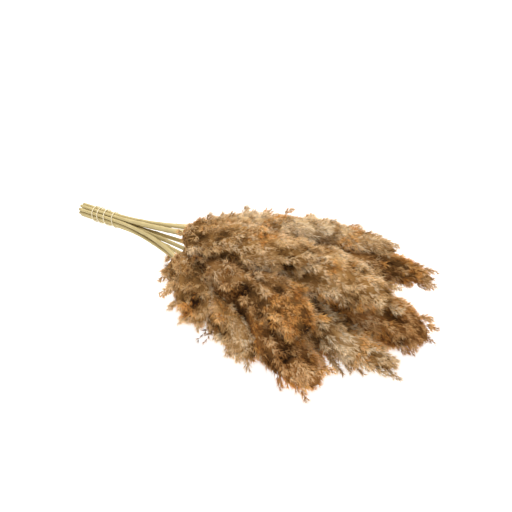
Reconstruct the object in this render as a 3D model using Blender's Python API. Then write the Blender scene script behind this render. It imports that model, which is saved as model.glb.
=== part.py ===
# Bundle of cut and dried reed plumes, tied near its cut ends and lying on a flat surface.
# Lengths are metres, +Z is up, +X runs from the cut ends to the plume tips and +Y to the left.
# The surface is z = 0, and the origin lies on it under the middle of the bundle.

import math
import random
from collections import namedtuple

import bmesh
import bpy
import numpy as np
from mathutils import Vector

# The bundle
CUT_END_X = -0.3505
CUT_END_Y = -0.0011
BUNDLE_TILT = math.radians(10.0)
FLOOR_Z = 0.0
SEAT_GAP = 0.0003
STEM_GAP = 0.0005
CLEARANCE = 0.001

# The stems
STEM_RADIUS = 0.0029
STEM_SWELL = 1.2
SWELLS_OVER = 0.06
THICKEST_STEM = STEM_SWELL * STEM_RADIUS
STEM_POINTS = 11
INNER_RING = 1.24 * STEM_RADIUS
INNER_ANGLES = [90, 210, 330]
OUTER_RING = 3.25 * STEM_RADIUS
OUTER_ANGLES = [30 + 40 * k for k in range(9)]
BUNDLE_RADIUS = OUTER_RING + STEM_RADIUS

# The thread wound round the stems
THREAD_RADIUS = 0.0007
THREAD_START = 0.0312
THREAD_TURNS = 3.66
THREAD_FIRST_PITCH = 0.0088
THREAD_LAST_PITCH = 0.0232
THREAD_POINTS_A_TURN = 12

# The reeds leave the tie straight and bow out to their tips
TIE_LENGTH = 0.090
ARRIVING_PULL = 0.32
PATH_STEPS = 400

# The outline of a plume: it widens over its first stretch and narrows over its last
WIDENS_OVER = 0.24
NARROWS_FROM = 0.45
POINTED_LOSS = 0.82
BLUNT_LOSS = 0.47
POINTED_POWER = 1.4
BLUNT_POWER = 2.6

# The slim core of a plume
CORE_SHARE = 0.36
CORE_POINTS = 11
CORE_TIP_RADIUS = 0.0012
CORE_CELL_SHARE = 0.40

# The tufts that stand out of the core, with lengths as shares of the plume's length or spread
TUFTS_AT_LEAST = 28
TUFTS_A_SQUARE_METRE = 1700
FIRST_TUFT = 0.02
LAST_TUFT = 0.94
TIPWARD_POWER = 1.12
TUFT_WIDTH_SHARE = 0.125
TUFT_WIDTHS = (0.85, 1.15)
TUFT_PUSHES = (0.88, 1.20)
TUFT_TURN = 0.2
TUFT_FLATNESS = 1.4
TUFT_ADVANCE = 0.12
SQUEEZED_ADVANCE = 0.05
BASE_SWEEP = 0.10
SHORTEST_AT = 0.10
MIDDLE_SHARE = 0.45
MIDDLE_BULGE = 0.18
TUFT_DROOP = 0.10
TOP_DROOP = 0.24
SQUEEZES = [1.0, 0.86, 0.73, 0.61, 0.50, 0.40, 0.31, 0.23, 0.16]
GOLDEN_ANGLE = math.radians(137.508)
ROOT_DEPTH = 0.5
SQUEEZED_WIDTH = 0.45
PRESSED_SHARE = 0.45

# Where a tuft's room is tested, as shares of its inner and its outer half
INNER_TESTS = (0.3, 0.55, 0.8, 1.0)
OUTER_TESTS = (0.25, 0.5, 0.75, 1.0)

# How finely a path is read when distances to it are measured, and how close corners are welded
READ_STEP = 0.002
WELD_DISTANCE = 0.00001

SEED = 8572

# A reed's place in the tie, how long it keeps the bundle's heading, its tip measured from the
# floor under the cut ends, its heading there, the length and spread of its plume, how blunt the
# head is (0 to 1) and the name of its colour.
Reed = namedtuple("Reed", "slot lead tip heading length spread blunt colour")

REEDS = [
    Reed(3, 0.20, (0.474, 0.105, 0.131), (0.80, 0.55, 0.12), 0.236, 0.047, 0.7, "pale"),
    Reed(5, 0.16, (0.500, 0.018, 0.136), (0.90, 0.35, 0.00), 0.252, 0.055, 0.6, "tan"),
    Reed(11, 0.20, (0.562, 0.132, 0.114), (0.95, 0.22, -0.05), 0.320, 0.052, 0.5, "beige"),
    Reed(2, 0.16, (0.632, 0.134, 0.091), (0.97, 0.20, -0.05), 0.358, 0.062, 0.2, "brown"),
    Reed(10, 0.16, (0.674, 0.060, 0.044), (0.95, 0.14, -0.20), 0.360, 0.076, 1.0, "rust"),
    Reed(9, 0.18, (0.666, -0.014, 0.036), (0.95, 0.16, -0.15), 0.388, 0.065, 0.2, "pale"),
    Reed(8, 0.30, (0.599, -0.114, 0.036), (0.95, -0.20, -0.12), 0.345, 0.063, 1.0, "rust"),
    Reed(1, 0.16, (0.552, -0.084, 0.092), (0.88, -0.38, 0.00), 0.300, 0.070, 1.0, "brown"),
    Reed(4, 0.20, (0.400, 0.042, 0.114), (0.90, 0.20, 0.20), 0.164, 0.038, 0.7, "rust"),
    Reed(6, 0.38, (0.380, -0.124, 0.046), (0.60, -0.78, -0.12), 0.148, 0.052, 0.9, "tan"),
    Reed(7, 0.22, (0.488, -0.128, 0.036), (0.80, -0.58, -0.08), 0.248, 0.057, 0.9, "beige"),
    Reed(0, 0.16, (0.618, 0.040, 0.102), (0.97, 0.06, -0.10), 0.372, 0.082, 0.6, "tan"),
]

COLOURS = {
    "pale": (0.52, 0.38, 0.24),
    "beige": (0.42, 0.28, 0.15),
    "tan": (0.34, 0.21, 0.10),
    "brown": (0.22, 0.12, 0.05),
    "rust": (0.36, 0.17, 0.06),
}
STRAW = (0.60, 0.48, 0.24)
CREAM = (0.78, 0.70, 0.52)


def clear_scene():
    for old in list(bpy.data.objects):
        bpy.data.objects.remove(old)


def new_collection(name):
    collection = bpy.data.collections.new(name)
    bpy.context.scene.collection.children.link(collection)
    return collection


def new_material(name, colour, roughness):
    material = bpy.data.materials.new(name)
    material.use_nodes = True
    shader = material.node_tree.nodes["Principled BSDF"]
    shader.inputs["Base Color"].default_value = (*colour, 1.0)
    shader.inputs["Roughness"].default_value = roughness
    shader.inputs["Metallic"].default_value = 0.0
    return material


# Reed paths

def unit(vector):
    vector = np.asarray(vector, float)
    return vector / np.linalg.norm(vector)


BUNDLE_AXIS = np.array([math.cos(BUNDLE_TILT), 0.0, math.sin(BUNDLE_TILT)])
BUNDLE_LEFT = np.array([0.0, 1.0, 0.0])
BUNDLE_UP = np.array([-math.sin(BUNDLE_TILT), 0.0, math.cos(BUNDLE_TILT)])
CUT_END_FOOT = np.array([CUT_END_X, CUT_END_Y, FLOOR_Z])
CUT_END = CUT_END_FOOT + np.array([0.0, 0.0, BUNDLE_RADIUS * math.cos(BUNDLE_TILT)])


def around_axis(angle, radius):
    return BUNDLE_LEFT * radius * math.cos(angle) + BUNDLE_UP * radius * math.sin(angle)


def slot_offset(slot):
    """Where a stem lies in the tied bundle: three inside, nine round them."""
    if slot < len(INNER_ANGLES):
        return around_axis(math.radians(INNER_ANGLES[slot]), INNER_RING)
    return around_axis(math.radians(OUTER_ANGLES[slot - len(INNER_ANGLES)]), OUTER_RING)


def reed_path(reed):
    """Points from the cut end to the tip: straight through the tie, then a cubic curve."""
    cut = CUT_END + slot_offset(reed.slot)
    leave = cut + BUNDLE_AXIS * TIE_LENGTH
    tip = CUT_END_FOOT + np.array(reed.tip)
    reach = np.linalg.norm(tip - leave)
    pull_out = leave + BUNDLE_AXIS * reed.lead * reach
    pull_in = tip - unit(reed.heading) * ARRIVING_PULL * reach
    t = np.linspace(0.0, 1.0, PATH_STEPS)[:, None]
    curve = (1 - t) ** 3 * leave + 3 * (1 - t) ** 2 * t * pull_out
    curve = curve + 3 * (1 - t) * t ** 2 * pull_in + t ** 3 * tip
    return np.vstack([cut, curve])


class Path:
    """A polyline that can be read at any distance from its cut end."""

    def __init__(self, points):
        self.points = points
        steps = np.linalg.norm(np.diff(points, axis=0), axis=1)
        self.along = np.concatenate([[0.0], np.cumsum(steps)])
        self.length = self.along[-1]

    def at(self, distance):
        return np.stack([np.interp(distance, self.along, self.points[:, k]) for k in range(3)], -1)

    def heading(self, distance):
        middle = min(distance, self.length - READ_STEP)
        return unit(self.at(middle + READ_STEP) - self.at(middle - READ_STEP))

    def stretch(self, start, end):
        count = max(2, int((end - start) / READ_STEP) + 1)
        return self.at(np.linspace(start, end, count))


def stem_radius_at(index, path, field, distance):
    """Beyond the tie leaf sheaths wrap a stem, as thick as its neighbours leave room for."""
    beyond = min(1.0, max(0.0, (distance - TIE_LENGTH) / SWELLS_OVER))
    room = 0.5 * field.nearest_stem(path.at(distance), leave_out=index) - 0.5 * STEM_GAP
    return min(STEM_RADIUS * (1.0 + (STEM_SWELL - 1.0) * beyond), room)


# Tubes

def tube(name, collection, points, radii, sides=8):
    """A curve object that is a closed tube through the points, with a radius at each."""
    curve = bpy.data.curves.new(name, "CURVE")
    curve.dimensions = "3D"
    curve.bevel_depth = 1.0
    curve.bevel_resolution = (sides - 4) // 2
    curve.use_fill_caps = True
    spline = curve.splines.new("POLY")
    spline.points.add(len(points) - 1)
    for point, place, radius in zip(spline.points, points, radii):
        point.co = (*place, 1.0)
        point.radius = radius
    body = bpy.data.objects.new(name, curve)
    collection.objects.link(body)
    return body


def as_mesh(body, collection, weld=True):
    """The evaluated shape of an object as a mesh object, with a curve's caps welded."""
    bpy.context.view_layer.update()
    evaluated = body.evaluated_get(bpy.context.evaluated_depsgraph_get())
    mesh = bpy.data.meshes.new_from_object(evaluated)
    if weld:
        welded = bmesh.new()
        welded.from_mesh(mesh)
        bmesh.ops.remove_doubles(welded, verts=welded.verts, dist=WELD_DISTANCE)
        bmesh.ops.recalc_face_normals(welded, faces=welded.faces)
        welded.to_mesh(mesh)
        welded.free()
    name = body.name
    place = body.matrix_world.copy()
    bpy.data.objects.remove(body)
    solid = bpy.data.objects.new(name, mesh)
    solid.matrix_world = place
    collection.objects.link(solid)
    return solid


# Plumes

def envelope(share, blunt):
    """How far the tufts reach from the reed, from the plume's base (0) to its tip (1)."""
    rise = min(1.0, math.sqrt(max(share, 0.0) / WIDENS_OVER))
    loss = POINTED_LOSS + (BLUNT_LOSS - POINTED_LOSS) * blunt
    power = POINTED_POWER + (BLUNT_POWER - POINTED_POWER) * blunt
    towards_tip = max(0.0, (share - NARROWS_FROM) / (1.0 - NARROWS_FROM))
    return rise * (1.0 - loss * towards_tip ** power)


class Field:
    """The places of all the reeds, so that each plume keeps to the space nearest its own reed."""

    def __init__(self, paths):
        self.plumes = []
        self.stems = []
        for path, reed in zip(paths, REEDS):
            base = path.length - reed.length
            self.plumes.append(path.stretch(base, path.length))
            self.stems.append(path.stretch(0.0, base))

    def nearest_other(self, index, point):
        return min(nearest(plume, point)[0] for k, plume in enumerate(self.plumes) if k != index)

    def nearest_stem(self, point, leave_out=None):
        return min(nearest(stem, point)[0] for k, stem in enumerate(self.stems) if k != leave_out)

    def has_room(self, index, point, radius):
        """Whether a ball lies on its own plume's side of every midplane, and clear of the stems."""
        own_distance, own_point = nearest(self.plumes[index], point)
        for k, plume in enumerate(self.plumes):
            if k == index:
                continue
            distance, other_point = nearest(plume, point)
            apart = np.linalg.norm(other_point - own_point)
            to_midplane = (distance ** 2 - own_distance ** 2) / (2.0 * apart)
            if to_midplane < radius + 0.5 * CLEARANCE:
                return False
        return self.nearest_stem(point) > THICKEST_STEM + radius + CLEARANCE


def nearest(points, point):
    distances = np.linalg.norm(points - point, axis=1)
    first = int(distances.argmin())
    return distances[first], points[first]


def core_radii(index, path, reed, field, stations):
    """The slim core's radius: a share of the plume's spread, less where reeds crowd."""
    radii = []
    base = path.length - reed.length
    for station in stations:
        share = (station - base) / reed.length
        point = path.at(station)
        wanted = CORE_SHARE * reed.spread * envelope(share, reed.blunt)
        room = CORE_CELL_SHARE * field.nearest_other(index, point)
        stem_room = field.nearest_stem(point, leave_out=index) - THICKEST_STEM - CLEARANCE
        radii.append(max(CORE_TIP_RADIUS, min(wanted, room, stem_room)))
    radii[-1] = CORE_TIP_RADIUS
    return radii


def cross_axes(heading):
    left = unit(np.cross((0.0, 0.0, 1.0), heading))
    return left, np.cross(heading, left)


def tuft_mesh(spine, middle_radius, side, roll):
    """A bent three-sided tuft, pointed at its root and tip and widest at its middle."""
    mesh = bpy.data.meshes.new("tuft")
    shape = bmesh.new()
    bmesh.ops.create_cone(shape, cap_ends=True, segments=3, depth=1.0,
                          radius1=middle_radius, radius2=0.0)
    bmesh.ops.remove_doubles(shape, verts=shape.verts, dist=0.1 * WELD_DISTANCE)
    cap = min(shape.faces, key=lambda face: face.calc_center_median().z)
    bmesh.ops.poke(shape, faces=[cap], offset=1.0)
    headings = [spine[1] - spine[0], spine[2] - spine[0], spine[2] - spine[1]]
    for vertex in shape.verts:
        stage = round(vertex.co.z + 1.5)
        up = unit(np.cross(unit(headings[stage]), side))
        left = np.cross(up, unit(headings[stage]))
        angle = math.atan2(vertex.co.y, vertex.co.x) + roll
        radius = math.hypot(vertex.co.x, vertex.co.y)
        across = TUFT_FLATNESS * radius * math.cos(angle)
        through = radius * math.sin(angle) / TUFT_FLATNESS
        vertex.co = Vector(spine[stage] + left * across + up * through)
    if shape.calc_volume(signed=True) < 0.0:
        bmesh.ops.reverse_faces(shape, faces=shape.faces)
    shape.to_mesh(mesh)
    shape.free()
    return mesh


def spine_samples(spine, middle_radius):
    samples = []
    for share in INNER_TESTS:
        samples.append((spine[0] + share * (spine[1] - spine[0]), middle_radius * share))
    for share in OUTER_TESTS:
        samples.append((spine[1] + share * (spine[2] - spine[1]), middle_radius * (1.0 - share)))
    return samples


def lifted(point, least):
    return np.array([point[0], point[1], max(point[2], FLOOR_Z + least)])


def tuft_spine(path, reed, radius_at, share, angle, push, squeeze):
    """A tuft's root, middle and tip: it leaves the reed outwards and bends towards the plume's tip."""
    base = path.length - reed.length
    station = base + share * reed.length
    heading = path.heading(station)
    left, up = cross_axes(heading)
    outward = left * math.cos(angle) + up * math.sin(angle)
    advance = TUFT_ADVANCE * push + SQUEEZED_ADVANCE * (1.0 - squeeze)
    end_share = share + advance - BASE_SWEEP * squeeze * (1.0 - share) ** 3
    reach = reed.spread * push * squeeze * envelope(np.clip(end_share, SHORTEST_AT, 1.0), reed.blunt)
    beyond = max(0.0, end_share - 1.0) * reed.length
    root = path.at(station) + outward * ROOT_DEPTH * radius_at(station)
    end = path.at(min(base + end_share * reed.length, path.length)) + heading * beyond
    droop = TUFT_DROOP + TOP_DROOP * max(0.0, outward[2])
    tip = end + outward * reach + np.array([0.0, 0.0, -droop * reach])
    middle = root + MIDDLE_SHARE * (tip - root) + outward * MIDDLE_BULGE * reach
    return [root, middle, tip], np.cross(heading, outward)


def fitted_tuft(index, field, path, radius_at, share, angle, push, width):
    """Squeeze a tuft towards its own reed until it stays in its own plume's space."""
    reed = REEDS[index]
    for squeeze in SQUEEZES:
        spine, side = tuft_spine(path, reed, radius_at, share, angle, push, squeeze)
        middle_radius = width * (SQUEEZED_WIDTH + (1.0 - SQUEEZED_WIDTH) * squeeze)
        pressed = [lifted(spine[0], CLEARANCE), lifted(spine[1], PRESSED_SHARE * middle_radius),
                   lifted(spine[2], CLEARANCE)]
        if all(field.has_room(index, place, radius)
               for place, radius in spine_samples(pressed, middle_radius)):
            return pressed, middle_radius, side
    return None


def make_plume(number, paths, field, collection, floor_cutter, material):
    index = number - 1
    path = paths[index]
    reed = REEDS[index]
    draw = random.Random(SEED + number)
    base = path.length - reed.length
    stations = np.linspace(base + SEAT_GAP, path.length, CORE_POINTS)
    radii = core_radii(index, path, reed, field, stations)

    core = tube(f"plume_{number:02d}", collection, path.at(stations), radii)
    plume = as_mesh(core, collection)
    tufts = new_collection("tufts")

    def radius_at(station):
        return float(np.interp(station, stations, radii))

    tuft_count = TUFTS_AT_LEAST + round(TUFTS_A_SQUARE_METRE * reed.length * reed.spread)
    for count in range(tuft_count):
        along = ((count + 0.5) / tuft_count) ** TIPWARD_POWER
        share = FIRST_TUFT + (LAST_TUFT - FIRST_TUFT) * along
        angle = count * GOLDEN_ANGLE + draw.uniform(-TUFT_TURN, TUFT_TURN)
        push = draw.uniform(*TUFT_PUSHES)
        width = TUFT_WIDTH_SHARE * reed.spread * draw.uniform(*TUFT_WIDTHS)
        roll = draw.uniform(0.0, math.tau)
        fitted = fitted_tuft(index, field, path, radius_at, share, angle, push, width)
        if fitted is not None:
            tufts.objects.link(bpy.data.objects.new("tuft", tuft_mesh(*fitted, roll)))

    join = plume.modifiers.new("join tufts", "BOOLEAN")
    join.operation = "UNION"
    join.operand_type = "COLLECTION"
    join.collection = tufts
    join.solver = "MANIFOLD"
    press = plume.modifiers.new("press on surface", "BOOLEAN")
    press.operation = "DIFFERENCE"
    press.object = floor_cutter
    press.solver = "MANIFOLD"
    joined = as_mesh(plume, collection, weld=False)
    for tuft in list(tufts.objects):
        bpy.data.objects.remove(tuft)
    bpy.data.collections.remove(tufts)
    keep_largest_body(joined.data)
    joined.data.materials.clear()
    joined.data.materials.append(material)
    return joined


def keep_largest_body(mesh):
    """Drop loose scraps that a cut left."""
    shape = bmesh.new()
    shape.from_mesh(mesh)
    unseen = set(shape.verts)
    bodies = []
    while unseen:
        body = {unseen.pop()}
        edge = list(body)
        while edge:
            for link in edge.pop().link_edges:
                for vertex in link.verts:
                    if vertex in unseen:
                        unseen.remove(vertex)
                        body.add(vertex)
                        edge.append(vertex)
        bodies.append(body)
    bodies.sort(key=len)
    for body in bodies[:-1]:
        bmesh.ops.delete(shape, geom=list(body), context="VERTS")
    shape.to_mesh(mesh)
    shape.free()


# Stems and thread

def make_stem(number, path, field, collection, material):
    reed = REEDS[number - 1]
    end = path.length - reed.length - SEAT_GAP
    stations = np.concatenate([[0.0], np.linspace(TIE_LENGTH, end, STEM_POINTS - 1)])
    radii = [stem_radius_at(number - 1, path, field, station) for station in stations]
    stem = tube(f"stem_{number:02d}", collection, path.at(stations), radii)
    stem.data.materials.append(material)
    return stem


def make_thread(collection, material):
    """A thread wound round the bundle, its turns opening towards the plumes."""
    count = int(THREAD_TURNS * THREAD_POINTS_A_TURN) + 1
    radius = BUNDLE_RADIUS + SEAT_GAP + THREAD_RADIUS
    points = []
    for step in range(count):
        turns = step / THREAD_POINTS_A_TURN
        growth = (THREAD_LAST_PITCH - THREAD_FIRST_PITCH) / THREAD_TURNS
        along = THREAD_START + turns * (THREAD_FIRST_PITCH + 0.5 * growth * turns)
        points.append(CUT_END + BUNDLE_AXIS * along + around_axis(math.tau * turns, radius))
    thread = tube("tie_thread", collection, points, [THREAD_RADIUS] * count)
    thread.data.materials.append(material)
    return thread


def make_floor_cutter(collection):
    """A block under the surface, which presses flat what would sink below it."""
    bpy.ops.mesh.primitive_cube_add(size=2.0, location=(0.0, 0.0, FLOOR_Z - 1.0))
    cutter = bpy.context.object
    cutter.name = "surface_block"
    for home in list(cutter.users_collection):
        home.objects.unlink(cutter)
    collection.objects.link(cutter)
    cutter.hide_render = True
    cutter.display_type = "WIRE"
    return cutter


def main():
    clear_scene()
    bundle = new_collection("reed_plume_bundle")
    cutters = new_collection("cutters")
    straw = new_material("straw", STRAW, 0.55)
    cream = new_material("cream_thread", CREAM, 0.85)
    plume_materials = {name: new_material(f"plume_{name}", colour, 0.95)
                       for name, colour in COLOURS.items()}
    floor_cutter = make_floor_cutter(cutters)
    paths = [Path(reed_path(reed)) for reed in REEDS]
    field = Field(paths)
    for number, reed in enumerate(REEDS, 1):
        make_stem(number, paths[number - 1], field, bundle, straw)
        make_plume(number, paths, field, bundle, floor_cutter, plume_materials[reed.colour])
    make_thread(bundle, cream)


main()
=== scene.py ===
import math
import random
from collections import namedtuple

import bmesh
import bpy
import numpy as np
from mathutils import Matrix, Vector, noise


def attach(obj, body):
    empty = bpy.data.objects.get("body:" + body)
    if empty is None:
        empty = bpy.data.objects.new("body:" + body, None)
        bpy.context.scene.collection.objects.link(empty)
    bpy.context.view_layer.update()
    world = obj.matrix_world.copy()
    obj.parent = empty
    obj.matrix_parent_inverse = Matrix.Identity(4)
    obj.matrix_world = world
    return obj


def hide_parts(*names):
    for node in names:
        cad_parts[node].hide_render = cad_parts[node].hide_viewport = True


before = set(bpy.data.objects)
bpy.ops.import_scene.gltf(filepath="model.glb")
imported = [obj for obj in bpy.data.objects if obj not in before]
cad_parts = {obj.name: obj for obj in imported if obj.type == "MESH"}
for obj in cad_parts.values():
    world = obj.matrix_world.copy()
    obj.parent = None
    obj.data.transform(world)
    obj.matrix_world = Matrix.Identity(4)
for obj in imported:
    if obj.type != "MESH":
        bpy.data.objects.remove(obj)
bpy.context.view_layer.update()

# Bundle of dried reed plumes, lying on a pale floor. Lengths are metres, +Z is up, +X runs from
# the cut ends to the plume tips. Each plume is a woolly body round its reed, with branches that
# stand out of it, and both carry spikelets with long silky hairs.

# The bundle, as in the part's source
CUT_END_X = -0.3505
CUT_END_Y = -0.0011
BUNDLE_TILT = math.radians(10.0)
FLOOR_Z = 0.0
CLEARANCE = 0.001
SEAT_GAP = 0.0003
STEM_GAP = 0.0005
STEM_RADIUS = 0.0029
STEM_SWELL = 1.2
SWELLS_OVER = 0.06
THICKEST_STEM = STEM_SWELL * STEM_RADIUS
INNER_RING = 1.24 * STEM_RADIUS
INNER_ANGLES = [90, 210, 330]
OUTER_RING = 3.25 * STEM_RADIUS
OUTER_ANGLES = [30 + 40 * k for k in range(9)]
BUNDLE_RADIUS = OUTER_RING + STEM_RADIUS
TIE_LENGTH = 0.090
ARRIVING_PULL = 0.32
PATH_STEPS = 400
READ_STEP = 0.002
SEED = 8572
SPIKELET_SEED = SEED * 7
FLUFF_SEED = SEED * 3
STEM_SEED = SEED * 5

# The outline of a plume and its branches, as in the part's source, except that the branches are
# pushed out a little less, because the hair on them reaches on to about the same outline
WIDENS_OVER = 0.24
NARROWS_FROM = 0.45
POINTED_LOSS = 0.82
BLUNT_LOSS = 0.47
POINTED_POWER = 1.4
BLUNT_POWER = 2.6
CORE_SHARE = 0.36
CORE_TIP_RADIUS = 0.0012
CORE_CELL_SHARE = 0.40
CORE_STATIONS = 24
ROOT_IN_CORE = 0.5
TUFTS_AT_LEAST = 28
TUFTS_A_SQUARE_METRE = 1700
FIRST_TUFT = 0.02
LAST_TUFT = 0.94
TIPWARD_POWER = 1.12
TUFT_WIDTH_SHARE = 0.125
TUFT_WIDTHS = (0.85, 1.15)
TUFT_PUSHES = (0.84, 1.12)
TUFT_TURN = 0.2
TUFT_ADVANCE = 0.12
SQUEEZED_ADVANCE = 0.05
BASE_SWEEP = 0.10
SWEEP_POWER = 3
SHORTEST_AT = 0.10
MIDDLE_SHARE = 0.45
MIDDLE_BULGE = 0.18
TUFT_DROOP = 0.10
TOP_DROOP = 0.24
SQUEEZES = [1.0, 0.86, 0.73, 0.61, 0.50, 0.40, 0.31, 0.23, 0.16]
SQUEEZED_WIDTH = 0.45
OPEN_WIDTH = 0.55
MIDDLE_HEIGHT = 0.45
ROOT_CHECKS = (0.3, 0.55, 0.8, 1.0)
TIP_CHECKS = (0.25, 0.5, 0.75, 1.0)
GOLDEN_ANGLE = math.radians(137.508)

# A spikelet: a dark blade of chaff and a fan of silky hairs. Leans are degrees, and a tone is
# measured from the spikelet's own.
SPIKELET_KINDS = 8
HAIRS = 8
HAIR_LENGTH = 0.0138
HAIR_LENGTHS = (0.60, 1.12)
HAIR_WIDTH = 0.00114
HAIR_LEANS = (3.0, 36.0)
HAIR_TURN = 0.4
HAIR_ROOTS = (0.0, 0.0035)
HAIR_TONES = (-0.10, 0.12)
CHAFF_LENGTH = 0.0080
CHAFF_LENGTHS = (0.7, 1.1)
CHAFF_WIDTH = 0.0012
CHAFF_LEANS = (3.0, 20.0)
CHAFF_TONE = -0.22
CAP_RISE = 0.02
NEEDLE_WELD = 0.0000001

# Spikelets over the woolly body
SURFACE_AREA_EACH = 0.0000328
SPIKELET_SCALES = (0.75, 1.15)
SURFACE_TURN = 0.5
SURFACE_RISE = 0.46
RISES = (0.6, 1.4)
RELIEF_RISE = 0.4
LEAST_RISE = 0.30
SLOPE_LIMITS = (-1.0, 0.5)
SLOPE_LEAN = 0.2
SLOPE_RISE = 0.3
# Painted light on the hair: paler on the raised clumps and darker in the hollows between them
RELIEF_PAINTED_LIGHT = 1.12
TONE_SPREAD = 0.15
# Painted shade in the crevices where a neighbouring plume cuts the body back
CREVICE_PAINTED_SHADE = 0.35

# Spikelets along the branches: the source's tufts, then thinner branches that fill between them
MAIN_SPIKELETS = 10
FILL_BRANCHES = 0.8
FILL_PUSHES = (0.62, 0.98)
FILL_WIDTH = 0.5
FILL_SPIKELETS = 6
BRANCH_FROM = 0.45
BRANCH_TO = 0.82
STEP_SPOTS = (0.2, 0.8)
BRANCH_TURN = 0.3
SPIKELET_SPREAD = 0.62
SPREADS = (0.6, 1.3)
SPREAD_AT_ROOT = 1.1
SPREAD_LOSS = 0.5
SPIKELET_SAG = 0.15
SCALE_AT_ROOT = 1.15
SCALE_LOSS = 0.50
OFF_BRANCH = 0.0015
BRANCH_TONE = 0.10
TIPWARD_TONE = 0.30
EVEN_TONE_AT = 0.40
BRANCH_TONE_SPREAD = 0.12

# Spikelets on the loose sprays, and the long bristles round the plume's tip
SPRAY_SPREAD = 0.85
SPRAY_CLOSES = 0.5
SPRAY_STALK = 0.6
SPRAY_SCALE = 0.95
SPRAY_SCALE_LOSS = 0.3
SPRAY_TONE_SPREAD = 0.1
AWNS = 5
AWN_LENGTH = 0.026
AWN_SPREADS = (0.05, 0.5)
AWN_ROOT = 0.01
AWN_TONE = -0.15

# Every spikelet: how it strays from its direction, the tones it may have, where warm hair starts,
# and how it keeps off the floor and under the height of the bundle
DIRECTION_JITTER = 0.15
TONE_LIMITS = (0.08, 0.94)
WARM_FROM = 0.5
WARM_EDGE = 0.22
NEAR_FLOOR = 0.006
ON_FLOOR = 0.004
FLOOR_LIFT = 0.15
LEAST_HEIGHT = 0.0008
BENDS_ABOVE = 0.157
BEND_KEPT = 0.35

# The woolly body inside the plume and the thin stalk of each branch
BODY_SHARE = 0.63
BODY_START = 0.002
BODY_WIDENS_OVER = 0.13
ROUND_FROM = 0.86
END_BEYOND = 0.004
BODY_RINGS = 48
BODY_SIDES = 18
LEAST_BODY = 0.0008
WALL_STEPS = 10
WALL_OVERLAP = 0.006
WALL_SHARE = 0.80
WALL_KEPT = 0.75
BODY_RELIEF = 0.30
BODY_SAG = 0.20
BODY_DEPTH = 0.07
HAIR_ROOT_DEPTH = 0.09
CLUMP_STRETCH = 0.45
# Painted shade and light on the woolly body: darker than the hair on it, as the shaded depths of the
# fluff, darker still in its hollows and paler on its raised clumps
BODY_PAINTED_SHADE = -0.30
BODY_RELIEF_PAINTED_LIGHT = 0.50
BODY_SHADE = 0.16
BODY_SHADE_RELIEF = 0.3
STALK_RINGS = 4
STALK_SIDES = 3
STALK_TO = 0.95
STALK_RADIUS = 0.0009
STALK_TAPER = 0.8
STALK_TONE = -0.12
STALK_SHADE = 0.4
STALK_SHADE_STEP = 0.1

# Soft unevenness: how strong it is, how many times it changes in a metre, and how far it shifts
# from one plume to the next
Waves = namedtuple("Waves", "strength scale shift")

BROAD_CLUMPS = Waves(0.62, 46.0, 2.3)
FINE_CLUMPS = Waves(0.42, 110.0, 1.7)
SWIRL = Waves(0.60, 40.0, 5.3)
BODY_DRIFT = Waves(0.25, 20.0, 1.0)
BRANCH_DRIFT = Waves(0.40, 30.0, 1.0)
WARMTH = Waves(1.0, 22.0, 3.1)
PATCH_EDGE = Waves(1.1, 75.0, 9.0)

# How a patch fades: its strength in the middle and what it loses in one radius
PATCH_FULL = 1.7
PATCH_FALL = 1.3

# The map that carries a spikelet's tone across and the distance along a hair upwards. Its lower
# half holds the plume's own colours and its upper half the warmer accent.
MAP_NAME = "OFBake"
TONE_WIDTH = 0.006
OWN_BAND = (0.02, 0.48)
ACCENT_BAND = (0.52, 0.98)

# A stem's joints, as shares of its length beyond the tie, with the hollow in its cut end
STEM_STATIONS = 36
STEM_ROUNDNESS = 4
STEM_WELD = 0.00001
JOINTS = (0.30, 0.62)
JOINT_SHIFT = 0.12
JOINT_STEPS = (-2, -1, 0, 1, 2)
JOINT_HALF = 0.0022
JOINT_REACH = 1.2
JOINT_SWELL = 1.16
GROOVE_REACH = 0.1
GROOVE_SWELL = 1.02
END_REACH = 1.5
HOLLOW_SHARE = 0.62
HOLLOW_DEPTH = 0.006

# The thread wound round the stems, as in the part's source, and its two plies
THREAD_RADIUS = 0.0007
THREAD_START = 0.0312
THREAD_TURNS = 3.66
THREAD_FIRST_PITCH = 0.0088
THREAD_LAST_PITCH = 0.0232
PLIES = 2
PLY_RADIUS = 0.00056
PLY_OFFSET = 0.00034
PLY_LAY = 0.0034
PLY_POINTS = 7
PLY_ROUNDNESS = 1
PLY_WELD = 0.000001

# A reed's place in the tie, how long it keeps the bundle's heading, its tip measured from the
# floor under the cut ends, its heading there, the length and spread of its plume, how blunt the
# head is, the name of its colour, how pale it is and how much of it is warm orange-brown
Reed = namedtuple("Reed", "slot lead tip heading length spread blunt colour tone warm")

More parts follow.
